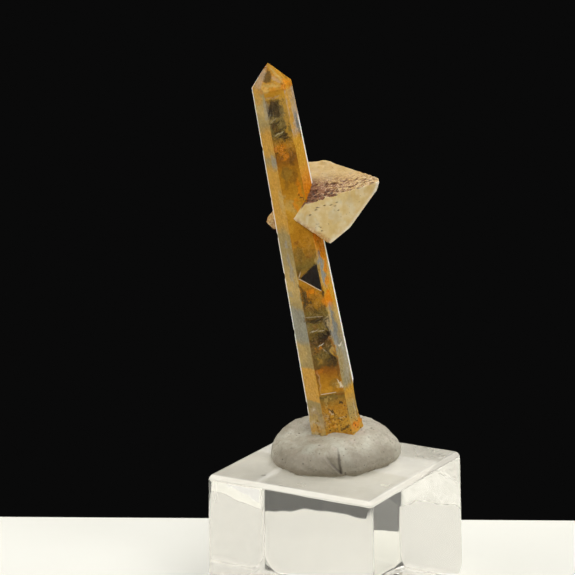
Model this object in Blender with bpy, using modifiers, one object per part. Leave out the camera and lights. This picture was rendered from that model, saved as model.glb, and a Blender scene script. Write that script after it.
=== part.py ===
"""Quartz crystal grown through an adularia crystal, stuck upright in putty on a clear block.

Metres, +Z up. The origin is the centre of the block's base, and X and Y are square to its sides.
The specimen is drawn in a frame of its own: its origin is the centre of the block's top, X runs
across the crystal's broad side to the right, Y runs away behind it and Z is up. That frame is
turned about Z by SPECIMEN_TURN against the block.
"""

import math
import random

import bmesh
import bpy
from mathutils import Matrix, Vector

MM = 0.001
HEXAGON = [math.radians(60 * i) for i in range(6)]  # headings of a hexagonal prism's sides

# The clear block
BLOCK_SIDE = 30 * MM
BLOCK_HEIGHT = 22 * MM
BLOCK_EDGE = 1.0 * MM  # radius of its polished edges
BLOCK_FLARE = 0.3 * MM  # how far each side leans out at the base

# Where the specimen stands
SPECIMEN_TURN = math.radians(31.1)
FOOT = Vector((0.48, 2.5, 4.6)) * MM  # the quartz axis where it leaves the putty
QUARTZ_LEAN = math.radians(9.6)  # to the left
GAP = 0.3 * MM  # between pieces that touch

# The quartz, in its own frame: Z along its axis from FOOT, X to the right, Y away
FOOT_RADIUS = 4.18 * MM  # axis to edge
SHOULDER_RADIUS = 3.16 * MM
SHOULDER_HEIGHT = 57.8 * MM
SUNK = 2.9 * MM  # how deep the foot goes into the putty
PRISM_TURN = math.radians(-85)  # heading of the broad front face
PYRAMID_RISE = math.radians(38.2)  # a rhombohedral face against the prism face below it
# Where each pyramid face would meet the axis, from the front face turning right
PYRAMID_HEIGHTS = [h * MM for h in (60.7, 61.3, 61.4, 62.3, 61.6, 61.7)]
TIP_WEAR = 61.15 * MM  # the worn tip ends here
# A small worn facet on the right of the tip: its rise and where it would meet the axis
TIP_FACET = (math.radians(48), 61.8 * MM)

# A long hollow etched into the quartz's right edge near the foot
EDGE_HOLLOW = Vector((3.6, 1.1, 0.55)) * MM  # half length, half width, depth
EDGE_HOLLOW_HEIGHT = 4.6 * MM

# The adularia: each face's direction and its distance from ADULARIA_CENTRE, in the specimen's frame
ADULARIA_CENTRE = Vector((0.0, 3.0, 42.0)) * MM
ADULARIA_FACES = {
    "front": ((-0.075, -0.997, -0.026), 4.19),
    "roof": ((-0.29, -0.486, 0.825), 3.9),
    "back": ((0.252, 0.966, 0.058), 3.28),
    "upper_right": ((0.546, 0.485, 0.683), 5.43),
    "tip": ((0.918, 0.29, -0.27), 4.22),
    "lower_right": ((0.805, 0.227, -0.548), 2.85),
    "lower_end": ((0.63, 0.318, -0.709), 2.44),
    "lower_left": ((-0.573, -0.082, -0.815), 5.0),
    "left": ((-0.734, -0.422, 0.532), 5.18),
    "far_left": ((-0.94, 0.34, 0.0), 8.3),
}

# A small second adularia crystal that shows at the quartz's left edge
BUD_CENTRE = Vector((-7.9, 4.6, 39.3)) * MM
BUD_FACES = {
    "front": ((-0.3, -0.95, 0.05), 1.3),
    "roof": ((-0.73, -0.25, 0.63), 1.45),
    "top": ((0.0, 0.0, 1.0), 1.15),
    "left": ((-0.97, -0.1, 0.22), 2.08),
    "base": ((-0.65, -0.1, -0.75), 1.98),
    "foot": ((0.0, -0.1, -0.99), 1.5),
    "back": ((-0.2, 0.97, 0.1), 1.3),
    "right": ((1.0, 0.0, 0.0), 3.0),
}

# Etched pits: long ones in a strip on the adularia's roof, short ones at the quartz's foot
PIT_SIZES = (0.7, 1.1)  # the smallest and the largest, as shares of the sizes below
ROOF_PIT = Vector((0.62, 0.24, 0.3)) * MM  # half length, half width, depth
ROOF_PIT_COUNT = 24
ROOF_PIT_SPACING = 1.35 * ROOF_PIT.x
ROOF_PIT_SLANT = (0.05, 0.35)  # how much they turn uphill from the edge
ROOF_STRIP_START = Vector((-3.2, -0.8, 43.3)) * MM  # on the roof's front edge, by the quartz
ROOF_STRIP_LENGTH = 10.2 * MM
ROOF_STRIP_WIDTH = 3.3 * MM
ROOF_STRIP_SETBACK = 0.1 * MM  # from the edge
ROOF_STRIP_NARROWING = 0.55  # the share of its width lost towards the tip
ROOF_STRIP_CROWDING = 1.4  # above 1, the pits crowd by the quartz
FOOT_PIT = Vector((0.42, 0.3, 0.28)) * MM
FOOT_PIT_COUNT = 14
FOOT_PIT_SPACING = 2.3 * FOOT_PIT.x
FOOT_PIT_SLANT = 0.6  # how much they turn up or down, either way
FOOT_PIT_HEIGHTS = (1.6 * MM, 6.0 * MM)
FOOT_PIT_REACH = 0.32  # how far to either side of a face's middle, as a share of FOOT_RADIUS
FOOT_PIT_SIDES = (0, 0, 1)  # most are on the front face, some on the one right of it

# The putty: a flattened ball pressed round the quartz foot
PUTTY_CENTRE = Vector((-0.15, 1.9, 0.0)) * MM
PUTTY_RADII = (10.35 * MM, 10.2 * MM)
# Its section from the base outwards and up: share of the radius, share of the height
PUTTY_SECTION = (
    (0.6, 0.0),
    (0.93, 0.0),
    (1.0, 0.09),
    (1.03, 0.27),
    (0.99, 0.52),
    (0.88, 0.78),
    (0.68, 0.96),
    (0.4, 1.02),
)
# Its height round the quartz, in eighths of a turn from +X: low on the left, pushed up in front
PUTTY_HEIGHTS = [h * MM for h in (4.9, 6.0, 6.3, 5.8, 4.0, 4.3, 5.4, 5.0)]
PUTTY_SIDES = 28
# Lumps round its outline: how many, how far out as a share of the radius, and turned by how much
PUTTY_LUMPS = ((3, 0.025, 0.7), (5, 0.015, 2.1))
PINCH_HEADING = math.radians(-88)  # the folded pinch in its front
PINCH_DEPTH = 0.9 * MM
PINCH_SPREAD = math.radians(11)
PINCH_HEIGHTS = (0.1, 0.95)  # from and to, as shares of the height

# Each finish: its colour and its roughness
QUARTZ_FINISH = ((0.62, 0.42, 0.16), 0.18)
ADULARIA_FINISH = ((0.72, 0.6, 0.36), 0.42)
PUTTY_FINISH = ((0.46, 0.46, 0.41), 0.6)
CLEAR_FINISH = ((0.86, 0.86, 0.8), 0.05)
SHARP_ANGLE = math.radians(50)  # edges sharper than this stay crisp


def heading(angle, rise=0.0):
    """The direction at an angle from +X towards +Y, raised by rise."""
    return Vector(
        (math.cos(angle) * math.cos(rise), math.sin(angle) * math.cos(rise), math.sin(rise))
    )


def material(name, colour, roughness):
    made = bpy.data.materials.new(name)
    made.use_nodes = True
    shader = made.node_tree.nodes["Principled BSDF"]
    shader.inputs["Base Color"].default_value = (*colour, 1)
    shader.inputs["Roughness"].default_value = roughness
    shader.inputs["Metallic"].default_value = 0.0
    return made


def new_object(name, bm, collection, finish):
    """Makes an object of a finished bmesh and frees the bmesh."""
    bmesh.ops.recalc_face_normals(bm, faces=bm.faces[:])
    mesh = bpy.data.meshes.new(name)
    bm.to_mesh(mesh)
    bm.free()
    made = bpy.data.objects.new(name, mesh)
    made.data.materials.append(finish)
    collection.objects.link(made)
    return made


def cutter(name, bm, collection, finish):
    made = new_object(name, bm, collection, finish)
    made.hide_render = True
    made.display_type = "WIRE"
    return made


def combine(target, other, operation):
    """Adds an exact Boolean of target with other, whose own shapes may overlap."""
    boolean = target.modifiers.new(f"{operation.title()} {other.name}", "BOOLEAN")
    boolean.operation = operation
    boolean.solver = "EXACT"
    boolean.use_self = True
    boolean.material_mode = "TRANSFER"
    boolean.object = other


def cut_crystal(faces, centre):
    """A block of rough cut back to flat crystal faces, given as directions and distances."""
    bm = bmesh.new()
    bmesh.ops.create_cube(bm, size=4 * max(distance for _, distance in faces))
    bmesh.ops.translate(bm, vec=centre, verts=bm.verts[:])
    for direction, distance in faces:
        normal = Vector(direction).normalized()
        cut = bmesh.ops.bisect_plane(
            bm,
            geom=bm.verts[:] + bm.edges[:] + bm.faces[:],
            plane_co=centre + normal * distance,
            plane_no=normal,
            clear_outer=True,
        )
        rim = [part for part in cut["geom_cut"] if isinstance(part, bmesh.types.BMEdge)]
        bmesh.ops.contextual_create(bm, geom=rim)
    return bm


def specimen_matrix():
    """From the specimen's frame to the model's."""
    return Matrix.Translation((0, 0, BLOCK_HEIGHT)) @ Matrix.Rotation(SPECIMEN_TURN, 4, "Z")


def quartz_matrix():
    """From the quartz's own frame to the specimen's."""
    return Matrix.Translation(FOOT) @ Matrix.Rotation(-QUARTZ_LEAN, 4, "Y")


def prism_faces(grown=0.0):
    """The six tapering sides, each pushed out by grown."""
    flat = math.cos(HEXAGON[1] / 2)  # from the axis to a side, as a share of that to an edge
    taper = math.atan2((FOOT_RADIUS - SHOULDER_RADIUS) * flat, SHOULDER_HEIGHT)
    reach = FOOT_RADIUS * flat * math.cos(taper) + grown
    return [(heading(PRISM_TURN + side, taper), reach) for side in HEXAGON]


def pyramid_faces():
    return [
        (heading(PRISM_TURN + side, PYRAMID_RISE), height * math.sin(PYRAMID_RISE))
        for side, height in zip(HEXAGON, PYRAMID_HEIGHTS)
    ]


def quartz_crystal():
    """The prism with its six-sided tip, in its own frame."""
    rise, height = TIP_FACET
    ends = [
        (heading(0.0, rise), height * math.sin(rise)),
        (Vector((0, 0, 1)), TIP_WEAR),
        (Vector((0, 0, -1)), SUNK),
    ]
    return cut_crystal(prism_faces() + pyramid_faces() + ends, Vector())


def scaled_faces(faces):
    return [(direction, distance * MM) for direction, distance in faces.values()]


def pit(bm, place, along, normal, size):
    """Adds one lens-shaped hollow: long, narrow and deepest in the middle."""
    along = (along - normal * along.dot(normal)).normalized()
    across = normal.cross(along)
    turn = Matrix((along, across, normal)).transposed().to_4x4()
    grown = Matrix.Diagonal((size.x, size.y, size.z, 1))
    bmesh.ops.create_icosphere(
        bm, subdivisions=1, radius=1, matrix=Matrix.Translation(place) @ turn @ grown
    )


def plane_point(centre, normal, distance, guess):
    """The point of a crystal face nearest to guess."""
    return guess - normal * ((guess - centre).dot(normal) - distance)


def roof_pits():
    """Hollows scattered along the adularia's front edge, on its roof, thickest by the quartz."""
    direction, distance = ADULARIA_FACES["roof"]
    roof = Vector(direction).normalized()
    front = Vector(ADULARIA_FACES["front"][0]).normalized()
    edge = roof.cross(front).normalized()
    edge = edge if edge.x > 0 else -edge
    uphill = roof.cross(edge) if roof.cross(edge).z > 0 else edge.cross(roof)
    draw = random.Random(7)
    placed = []
    bm = bmesh.new()
    while len(placed) < ROOF_PIT_COUNT:
        along = draw.random() ** ROOF_STRIP_CROWDING
        rise = draw.random() * (1 - ROOF_STRIP_NARROWING * along)
        spot = ROOF_STRIP_START + edge * along * ROOF_STRIP_LENGTH
        spot += uphill * (ROOF_STRIP_SETBACK + ROOF_STRIP_WIDTH * rise)
        if any((spot - other).length < ROOF_PIT_SPACING for other in placed):
            continue
        placed.append(spot)
        slant = edge + uphill * draw.uniform(*ROOF_PIT_SLANT)
        size = ROOF_PIT * draw.uniform(*PIT_SIZES)
        pit(bm, plane_point(ADULARIA_CENTRE, roof, distance * MM, spot), slant, roof, size)
    return bm


def foot_pits():
    """Hollows on the quartz's front faces and right edge above the putty, in the quartz's frame."""
    draw = random.Random(11)
    placed = []
    bm = bmesh.new()
    upright = Vector((0, 0, 1))
    while len(placed) < FOOT_PIT_COUNT:
        direction, distance = prism_faces()[draw.choice(FOOT_PIT_SIDES)]
        across = upright.cross(direction).normalized()
        guess = across * draw.uniform(-FOOT_PIT_REACH, FOOT_PIT_REACH) * FOOT_RADIUS
        guess += upright * draw.uniform(*FOOT_PIT_HEIGHTS)
        spot = plane_point(Vector(), direction, distance, guess)
        if any((spot - other).length < FOOT_PIT_SPACING for other in placed):
            continue
        placed.append(spot)
        slant = across + upright * draw.uniform(-FOOT_PIT_SLANT, FOOT_PIT_SLANT)
        pit(bm, spot, slant, direction.copy(), FOOT_PIT * draw.uniform(*PIT_SIZES))
    outward = heading(PRISM_TURN + math.radians(90))
    narrowing = (FOOT_RADIUS - SHOULDER_RADIUS) / SHOULDER_HEIGHT
    edge = outward * (FOOT_RADIUS - narrowing * EDGE_HOLLOW_HEIGHT)
    pit(bm, edge + upright * EDGE_HOLLOW_HEIGHT, upright, outward, EDGE_HOLLOW)
    return bm


def specimen(collection, cutters, quartz, adularia):
    """Quartz and adularia grown together, as one solid."""
    crystal = new_object("quartz_with_adularia", quartz_crystal(), collection, quartz)
    crystal.matrix_world = specimen_matrix() @ quartz_matrix()

    hollows = cutter("foot_pits", foot_pits(), cutters, quartz)
    hollows.matrix_world = crystal.matrix_world

    big = cut_crystal(scaled_faces(ADULARIA_FACES), ADULARIA_CENTRE)
    rhomb = cutter("adularia_crystal", big, cutters, adularia)
    rhomb.matrix_world = specimen_matrix()
    etched = cutter("roof_pits", roof_pits(), cutters, adularia)
    etched.matrix_world = specimen_matrix()
    small = cut_crystal(scaled_faces(BUD_FACES), BUD_CENTRE)
    bud = cutter("adularia_bud", small, cutters, adularia)
    bud.matrix_world = specimen_matrix()

    combine(crystal, hollows, "DIFFERENCE")
    combine(rhomb, etched, "DIFFERENCE")
    combine(rhomb, bud, "UNION")
    combine(crystal, rhomb, "UNION")


def putty_radius(angle):
    """The putty's lumpy outline seen from above."""
    across, deep = PUTTY_RADII
    ellipse = 1 / math.hypot(math.cos(angle) / across, math.sin(angle) / deep)
    lumps = sum(size * math.sin(count * angle + turn) for count, size, turn in PUTTY_LUMPS)
    return ellipse * (1 + lumps)


def putty_height(angle):
    """The putty's height at a heading, blended between the two nearest in PUTTY_HEIGHTS."""
    count = len(PUTTY_HEIGHTS)
    part_turn = count * (angle % math.tau) / math.tau
    first = int(part_turn) % count
    blend = (1 - math.cos(math.pi * (part_turn - int(part_turn)))) / 2
    return PUTTY_HEIGHTS[first] * (1 - blend) + PUTTY_HEIGHTS[(first + 1) % count] * blend


def pinch(angle):
    """1 at the middle of the pinch and 0 away from it."""
    off = (angle - PINCH_HEADING + math.pi) % math.tau - math.pi
    return max(0.0, 1 - abs(off) / PINCH_SPREAD)


def putty_ring(bm, share, height):
    """One ring of the putty's cage."""
    ring = []
    for i in range(PUTTY_SIDES):
        angle = math.tau * i / PUTTY_SIDES
        reach = share * putty_radius(angle)
        if PINCH_HEIGHTS[0] < height < PINCH_HEIGHTS[1]:
            reach -= PINCH_DEPTH * pinch(angle)
        rise = height * putty_height(angle)
        ring.append(bm.verts.new(PUTTY_CENTRE + heading(angle) * reach + Vector((0, 0, rise))))
    return ring


def putty(collection, cutters, grey):
    """The flattened ball of putty with the socket that the quartz foot has pressed into it."""
    bm = bmesh.new()
    rings = [putty_ring(bm, share, height) for share, height in PUTTY_SECTION]
    for ring in (rings[0], rings[-1]):
        bm.faces.new(ring)
    for lower, upper in zip(rings, rings[1:]):
        for i in range(PUTTY_SIDES):
            j = (i + 1) % PUTTY_SIDES
            bm.faces.new((lower[i], lower[j], upper[j], upper[i]))
    bmesh.ops.translate(bm, vec=(0, 0, GAP), verts=bm.verts[:])
    ball = new_object("putty", bm, collection, grey)
    ball.matrix_world = specimen_matrix()
    smooth = ball.modifiers.new("Soft form", "SUBSURF")
    smooth.levels = 1
    smooth.render_levels = 1

    ends = [(Vector((0, 0, 1)), 2 * max(PUTTY_HEIGHTS)), (Vector((0, 0, -1)), SUNK + GAP)]
    grown = cut_crystal(prism_faces(GAP) + ends, Vector())
    socket = cutter("foot_socket", grown, cutters, grey)
    socket.matrix_world = specimen_matrix() @ quartz_matrix()
    combine(ball, socket, "DIFFERENCE")
    ball.data.shade_smooth()
    ball.data.set_sharp_from_angle(angle=SHARP_ANGLE)


def acrylic_block(collection, clear):
    """The clear block, a shade wider at the base, with polished edges."""
    bpy.ops.mesh.primitive_cube_add(size=1, location=(0, 0, BLOCK_HEIGHT / 2))
    block = bpy.context.object
    block.name = block.data.name = "acrylic_block"
    for vert in block.data.vertices:
        half = BLOCK_SIDE / 2 + (BLOCK_FLARE if vert.co.z < 0 else 0.0)
        vert.co = (
            math.copysign(half, vert.co.x),
            math.copysign(half, vert.co.y),
            vert.co.z * BLOCK_HEIGHT,
        )
    edges = block.modifiers.new("Polished edges", "BEVEL")
    edges.width = BLOCK_EDGE
    edges.segments = 3
    edges.limit_method = "ANGLE"
    block.data.materials.append(clear)
    for linked in list(block.users_collection):
        linked.objects.unlink(block)
    collection.objects.link(block)
    block.data.shade_smooth()
    block.data.set_sharp_from_angle(angle=SHARP_ANGLE)


def main():
    for old in list(bpy.data.objects):
        bpy.data.objects.remove(old, do_unlink=True)
    collection = bpy.data.collections.new("Quartz with adularia")
    cutters = bpy.data.collections.new("Cutters")
    for made in (collection, cutters):
        bpy.context.scene.collection.children.link(made)

    quartz = material("quartz", *QUARTZ_FINISH)
    adularia = material("adularia", *ADULARIA_FINISH)
    grey = material("putty", *PUTTY_FINISH)
    clear = material("acrylic", *CLEAR_FINISH)

    acrylic_block(collection, clear)
    putty(collection, cutters, grey)
    specimen(collection, cutters, quartz, adularia)


main()
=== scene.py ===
import math
import random

import bpy
from mathutils import Matrix, Vector


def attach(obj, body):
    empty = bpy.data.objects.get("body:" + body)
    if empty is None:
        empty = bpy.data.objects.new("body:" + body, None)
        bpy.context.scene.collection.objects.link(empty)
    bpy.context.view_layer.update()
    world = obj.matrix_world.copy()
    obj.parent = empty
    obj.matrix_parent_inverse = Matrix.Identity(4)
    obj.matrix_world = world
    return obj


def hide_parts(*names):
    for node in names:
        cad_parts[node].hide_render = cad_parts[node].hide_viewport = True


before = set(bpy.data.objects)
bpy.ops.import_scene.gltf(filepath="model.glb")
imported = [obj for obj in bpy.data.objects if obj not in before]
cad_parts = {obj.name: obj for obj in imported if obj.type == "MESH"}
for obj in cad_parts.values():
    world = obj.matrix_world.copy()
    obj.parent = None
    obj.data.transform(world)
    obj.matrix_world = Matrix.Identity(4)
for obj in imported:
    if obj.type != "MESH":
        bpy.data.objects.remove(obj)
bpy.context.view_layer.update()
mm = 0.001

# where things stand, as in the part's source; lengths in mm, angles in degrees
place = {
    "blockHeight": 22.0,
    "turn": 31.1,  # the specimen against the block
    "foot": (0.48, 2.5, 4.6),  # where the quartz axis leaves the putty
    "lean": 9.6,
}
specimenFrame = Matrix.Translation((0, 0, place["blockHeight"] * mm))
specimenFrame @= Matrix.Rotation(math.radians(place["turn"]), 4, "Z")
quartzFrame = specimenFrame @ Matrix.Translation(Vector(place["foot"]) * mm)
quartzFrame @= Matrix.Rotation(-math.radians(place["lean"]), 4, "Y")


# shader helpers


class Wire:
    # a shader socket that takes part in sums
    def __init__(self, paint, socket):
        self.paint, self.socket = paint, socket

    def math(self, operation, *others, clamp=False):
        settings = {"operation": operation, "use_clamp": clamp}
        return self.paint.node("ShaderNodeMath", settings, dict(enumerate((self, *others))))

    def __add__(self, other):
        return self.math("ADD", other)

    def __sub__(self, other):
        return self.math("SUBTRACT", other)

    def __rsub__(self, other):
        return self.paint.node("ShaderNodeMath", {"operation": "SUBTRACT"}, {0: other, 1: self})

    def __mul__(self, other):
        return self.math("MULTIPLY", other)

    def __truediv__(self, other):
        return self.math("DIVIDE", other)

    __radd__ = __add__
    __rmul__ = __mul__


class Paint:
    # the nodes of one material, or of a world
    def __init__(self, name, world=None):
        self.material = world or bpy.data.materials.new(name)
        self.material.use_nodes = True
        self.tree = self.material.node_tree
        self.tree.nodes.clear()
        kind = "ShaderNodeOutputWorld" if world else "ShaderNodeOutputMaterial"
        self.output = self.tree.nodes.new(kind)

    def node(self, kind, settings=None, inputs=None, out=0):
        made = self.tree.nodes.new(kind)
        for name, value in (settings or {}).items():
            if name == "stops":
                ramp = made.color_ramp
                while len(ramp.elements) < len(value):
                    ramp.elements.new(1.0)
                for stop, (position, colour) in zip(ramp.elements, value):
                    stop.position, stop.color = position, (*colour, 1)
            else:
                setattr(made, name, value)
        for name, value in (inputs or {}).items():
            if isinstance(value, Wire):
                self.tree.links.new(value.socket, made.inputs[name])
            elif isinstance(value, tuple) and made.inputs[name].type == "RGBA":
                made.inputs[name].default_value = (*value, 1)
            else:
                made.inputs[name].default_value = value
        return Wire(self, made.outputs[out])

    def local(self, matrix):
        # object coordinates in the frame of one crystal, in mm
        spot, turn, _ = matrix.decompose()
        raw = self.node("ShaderNodeTexCoord", out=3)
        inputs = {0: raw, 1: spot, 2: turn.to_euler(), 3: (mm, mm, mm)}
        return self.node("ShaderNodeMapping", {"vector_type": "TEXTURE"}, inputs)

    def split(self, vector):
        made = self.node("ShaderNodeSeparateXYZ", None, {0: vector})
        return [Wire(self, socket) for socket in made.socket.node.outputs]

    def stretch(self, vector, scale):
        return self.node("ShaderNodeVectorMath", {"operation": "MULTIPLY"}, {0: vector, 1: scale})

    def noise(self, vector, scale, detail=3.0, rough=0.55, warp=0.0):
        inputs = {"Vector": vector, "Scale": scale, "Detail": detail, "Roughness": rough,
                  "Distortion": warp}
        return self.node("ShaderNodeTexNoise", {"noise_dimensions": "3D"}, inputs)

    def cells(self, vector, scale):
        settings = {"voronoi_dimensions": "3D", "feature": "F1"}
        return self.node("ShaderNodeTexVoronoi", settings, {"Vector": vector, "Scale": scale})

    def step(self, value, low, high):
        # 0 below low and 1 above high; low above high turns it round
        settings = {"interpolation_type": "SMOOTHSTEP", "clamp": True}
        if low < high:
            return self.node("ShaderNodeMapRange", settings, {0: value, 1: low, 2: high})
        return self.node(
            "ShaderNodeMapRange", settings, {0: value, 1: high, 2: low, 3: 1.0, 4: 0.0}
        )

    def between(self, value, low, high, soft):
        return self.step(value, low - soft, low + soft) * self.step(value, high + soft, high - soft)

    def ramp(self, value, stops):
        return self.node("ShaderNodeValToRGB", {"stops": stops}, {0: value})

    def mix(self, share, first, second, blend="MIX"):
        settings = {"data_type": "RGBA", "blend_type": blend}
        return self.node("ShaderNodeMix", settings, {0: share, 6: first, 7: second}, out=2)

    def bump(self, height, distance, strength):
        inputs = {"Height": height, "Distance": distance, "Strength": strength}
        return self.node("ShaderNodeBump", None, inputs)

    def principled(self, **inputs):
        named = {name.replace("_", " "): value for name, value in inputs.items()}
        return self.node("ShaderNodeBsdfPrincipled", None, named)

    def blend(self, share, first, second):
        return self.node("ShaderNodeMixShader", None, {0: share, 1: first, 2: second})

    def surface(self, shader, volume=None):
        self.tree.links.new(shader.socket, self.output.inputs["Surface"])
        if volume is not None:
            self.tree.links.new(volume.socket, self.output.inputs["Volume"])
        return self.material


# modelling helpers


def pick(piece, mode="OBJECT"):
    # makes one piece the only one selected, in the wanted mode
    if bpy.context.mode != "OBJECT":
        bpy.ops.object.mode_set(mode="OBJECT")
    bpy.ops.object.select_all(action="DESELECT")
    piece.select_set(True)
    bpy.context.view_layer.objects.active = piece
    if mode == "EDIT":
        bpy.ops.object.mode_set(mode="EDIT")
        bpy.ops.mesh.select_all(action="SELECT")


def cutCrystal(name, faces, centre, reach):
    # a rough cube cut back to flat crystal faces, each a direction and a distance in mm
    bpy.ops.object.select_all(action="DESELECT")
    bpy.ops.mesh.primitive_cube_add(size=2 * reach * mm, location=Vector(centre) * mm)
    crystal = bpy.context.object
    crystal.name = crystal.data.name = name
    bpy.ops.object.transform_apply(location=True, rotation=False, scale=False)
    pick(crystal, "EDIT")
    for direction, distance in faces:
        normal = Vector(direction).normalized()
        bpy.ops.mesh.select_all(action="SELECT")
        bpy.ops.mesh.bisect(
            plane_co=(Vector(centre) + normal * distance) * mm,
            plane_no=normal,
            use_fill=True,
            clear_outer=True,
            threshold=1e-7,
        )
    pick(crystal)
    return crystal


def score(piece, direction, low, high, step):
    # cuts parallel lines into a piece's faces, so that they can be shaped finely
    pick(piece, "EDIT")
    normal = Vector(direction).normalized()
    distance = low
    while distance < high:
        bpy.ops.mesh.select_all(action="SELECT")
        bpy.ops.mesh.bisect(plane_co=normal * distance * mm, plane_no=normal, threshold=1e-7)
        distance += step
    pick(piece)


def apply(piece, kind, **settings):
    pick(piece)
    modifier = piece.modifiers.new(kind.title(), kind)
    for name, value in settings.items():
        setattr(modifier, name, value)
    bpy.ops.object.modifier_apply(modifier=modifier.name)


def carve(piece, tool, crossing=False):
    # cuts the tool out of the piece and uses it up; crossing where the tool's parts overlap
    apply(piece, "BOOLEAN", operation="DIFFERENCE", solver="EXACT", use_self=crossing, object=tool)
    bpy.data.objects.remove(tool, do_unlink=True)


def hollow(spot, along, normal, size):
    # one lens-shaped hollow: its place, length direction, face normal and half sizes in mm
    along = (along - normal * along.dot(normal)).normalized()
    turn = Matrix((along, normal.cross(along), normal)).transposed().to_euler()
    bpy.ops.object.select_all(action="DESELECT")
    bpy.ops.mesh.primitive_ico_sphere_add(
        subdivisions=2, radius=1, location=spot * mm, rotation=turn, scale=size * mm
    )
    return bpy.context.object


def carvePits(piece, spots):
    # one cut for all of them, on triangles: a second cut, or one into many-sided faces, leaves
    # open edges
    apply(piece, "TRIANGULATE")
    made = [hollow(*spot) for spot in spots]
    for tool in made:
        tool.select_set(True)
    bpy.ops.object.join()
    bpy.ops.object.transform_apply(location=True, rotation=True, scale=True)
    carve(piece, bpy.context.object, crossing=True)
    apply(piece, "TRIANGULATE")


def texture(name, kind, size, **settings):
    made = bpy.data.textures.new(name, kind)
    made.noise_scale = size * mm
    for setting, value in settings.items():
        setattr(made, setting, value)
    return made


def weigh(piece, name, weight):
    # a vertex group whose weight comes from each vertex's place in mm
    group = piece.vertex_groups.new(name=name)
    for vert in piece.data.vertices:
        share = weight(vert.co / mm)
        if share > 0:
            group.add([vert.index], min(share, 1.0), "REPLACE")


def settle(piece, matrix, node, finish, sharp=25):
    # puts a finished piece in place, gives it its material and hides the imported part that it
    # replaces
    piece.matrix_world = matrix
    pick(piece)
    bpy.ops.object.transform_apply(location=True, rotation=True, scale=True)
    bpy.ops.object.shade_smooth_by_angle(angle=math.radians(sharp))
    piece.data.materials.clear()
    piece.data.materials.append(finish)
    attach(piece, "root")
    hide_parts(node)


def heading(angle, rise=0.0):
    a, r = math.radians(angle), math.radians(rise)
    return Vector((math.cos(a) * math.cos(r), math.sin(a) * math.cos(r), math.sin(r)))


# quartz

quartz = {
    "footRadius": 4.18,
    "shoulderRadius": 3.16,
    "shoulderHeight": 57.8,
    "sunk": 2.9,  # how far the foot goes down into the putty
    "turn": -85,  # heading of the broad front face
    "pyramidRise": 38.2,
    "pyramidHeights": (60.7, 61.2, 61.35, 62.3, 61.2, 61.25),  # where each face meets the axis
    "tipWear": 61.08,  # the tip is worn flat here
    "tipFacet": (48, 61.8),  # a small extra face: its rise, and where it meets the axis
    "edge": 0.07,  # width of the worn edges
    "chips": 34,  # flakes off the long edges
    "etchedBelow": 7.5,  # the foot is rough up to here
    "footPits": 70,
    "hollow": ((3.6, 1.1, 0.55), 4.6),  # on the right edge: half sizes, height
    # healed cracks on the front: from, to and how plain; each end is a place round the prism and
    # a height
    "cracks": (((-0.93, 26.8), (0.8, 24.2), 0.75), ((-0.93, 26.9), (-0.7, 27.8), 0.6),
               ((-0.96, 20.4), (0.5, 20.05), 0.35), ((-0.88, 7.5), (0.4, 7.4), 0.8)),
}

# A place round the prism is u: -3 to -1 on the left face, -1 to 1 in front, 1 to 3 on the right
# face and 3 to 9 behind. Heights are in mm up the axis.
tones = {
    "amber": (0.48, 0.215, 0.012),
    "gold": (0.62, 0.32, 0.03),
    "straw": (0.58, 0.39, 0.12),
    "orange": (0.72, 0.24, 0.006),
    "rust": (0.28, 0.1, 0.008),
    "brown": (0.14, 0.068, 0.012),
    "olive": (0.21, 0.14, 0.027),
    "khaki": (0.38, 0.27, 0.09),
    "milk": (0.3, 0.28, 0.2),
    "rose": (0.48, 0.35, 0.22),
    "mist": (0.28, 0.29, 0.27),
    "pale": (0.85, 0.78, 0.6),
    "smoke": (0.045, 0.03, 0.012),
}
# each side's tones from the foot up, on a scale that ends at this height
zonesTop = 62
zones = {
    "left": ((0, "straw"), (2.2, "straw"), (3.2, "khaki"), (6.1, "khaki"), (6.3, "gold"),
             (11.7, "gold"), (11.9, "khaki"), (15.5, "khaki"), (16.5, "milk"), (21, "milk"),
             (22, "khaki"), (25, "straw"), (30, "khaki"), (34, "khaki"), (36, "gold"),
             (44, "gold"), (46, "khaki"), (48, "gold"), (50.5, "gold"), (52, "khaki"),
             (54, "straw"), (57, "khaki")),
    "front": ((0, "amber"), (2, "gold"), (5, "amber"), (7, "olive"), (7.5, "amber"), (9, "amber"),
              (11.3, "rust"), (11.8, "brown"), (14, "olive"), (16, "brown"), (18, "olive"),
              (21, "olive"), (23, "amber"), (26, "amber"), (28.5, "olive"), (32, "amber"),
              (35, "amber"), (38, "gold"), (41, "amber"), (44, "amber"), (46, "rust"),
              (48.5, "amber"), (50, "olive"), (54, "khaki"), (56.2, "gold")),
    "right": ((0, "gold"), (4, "khaki"), (7, "gold"), (8, "khaki"), (14, "milk"), (20, "straw"),
              (21.5, "gold"), (24, "gold"), (28, "straw"), (29, "gold"), (33, "orange"),
              (41, "orange"), (45, "gold"), (49, "gold"), (50, "rose"), (57, "rose")),
    "back": ((0, "gold"), (5, "amber"), (9, "khaki"), (14, "gold"), (20, "khaki"), (26, "milk"),
             (33, "gold"), (40, "amber"), (46, "khaki"), (52, "gold"), (57, "straw")),
}
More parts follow.
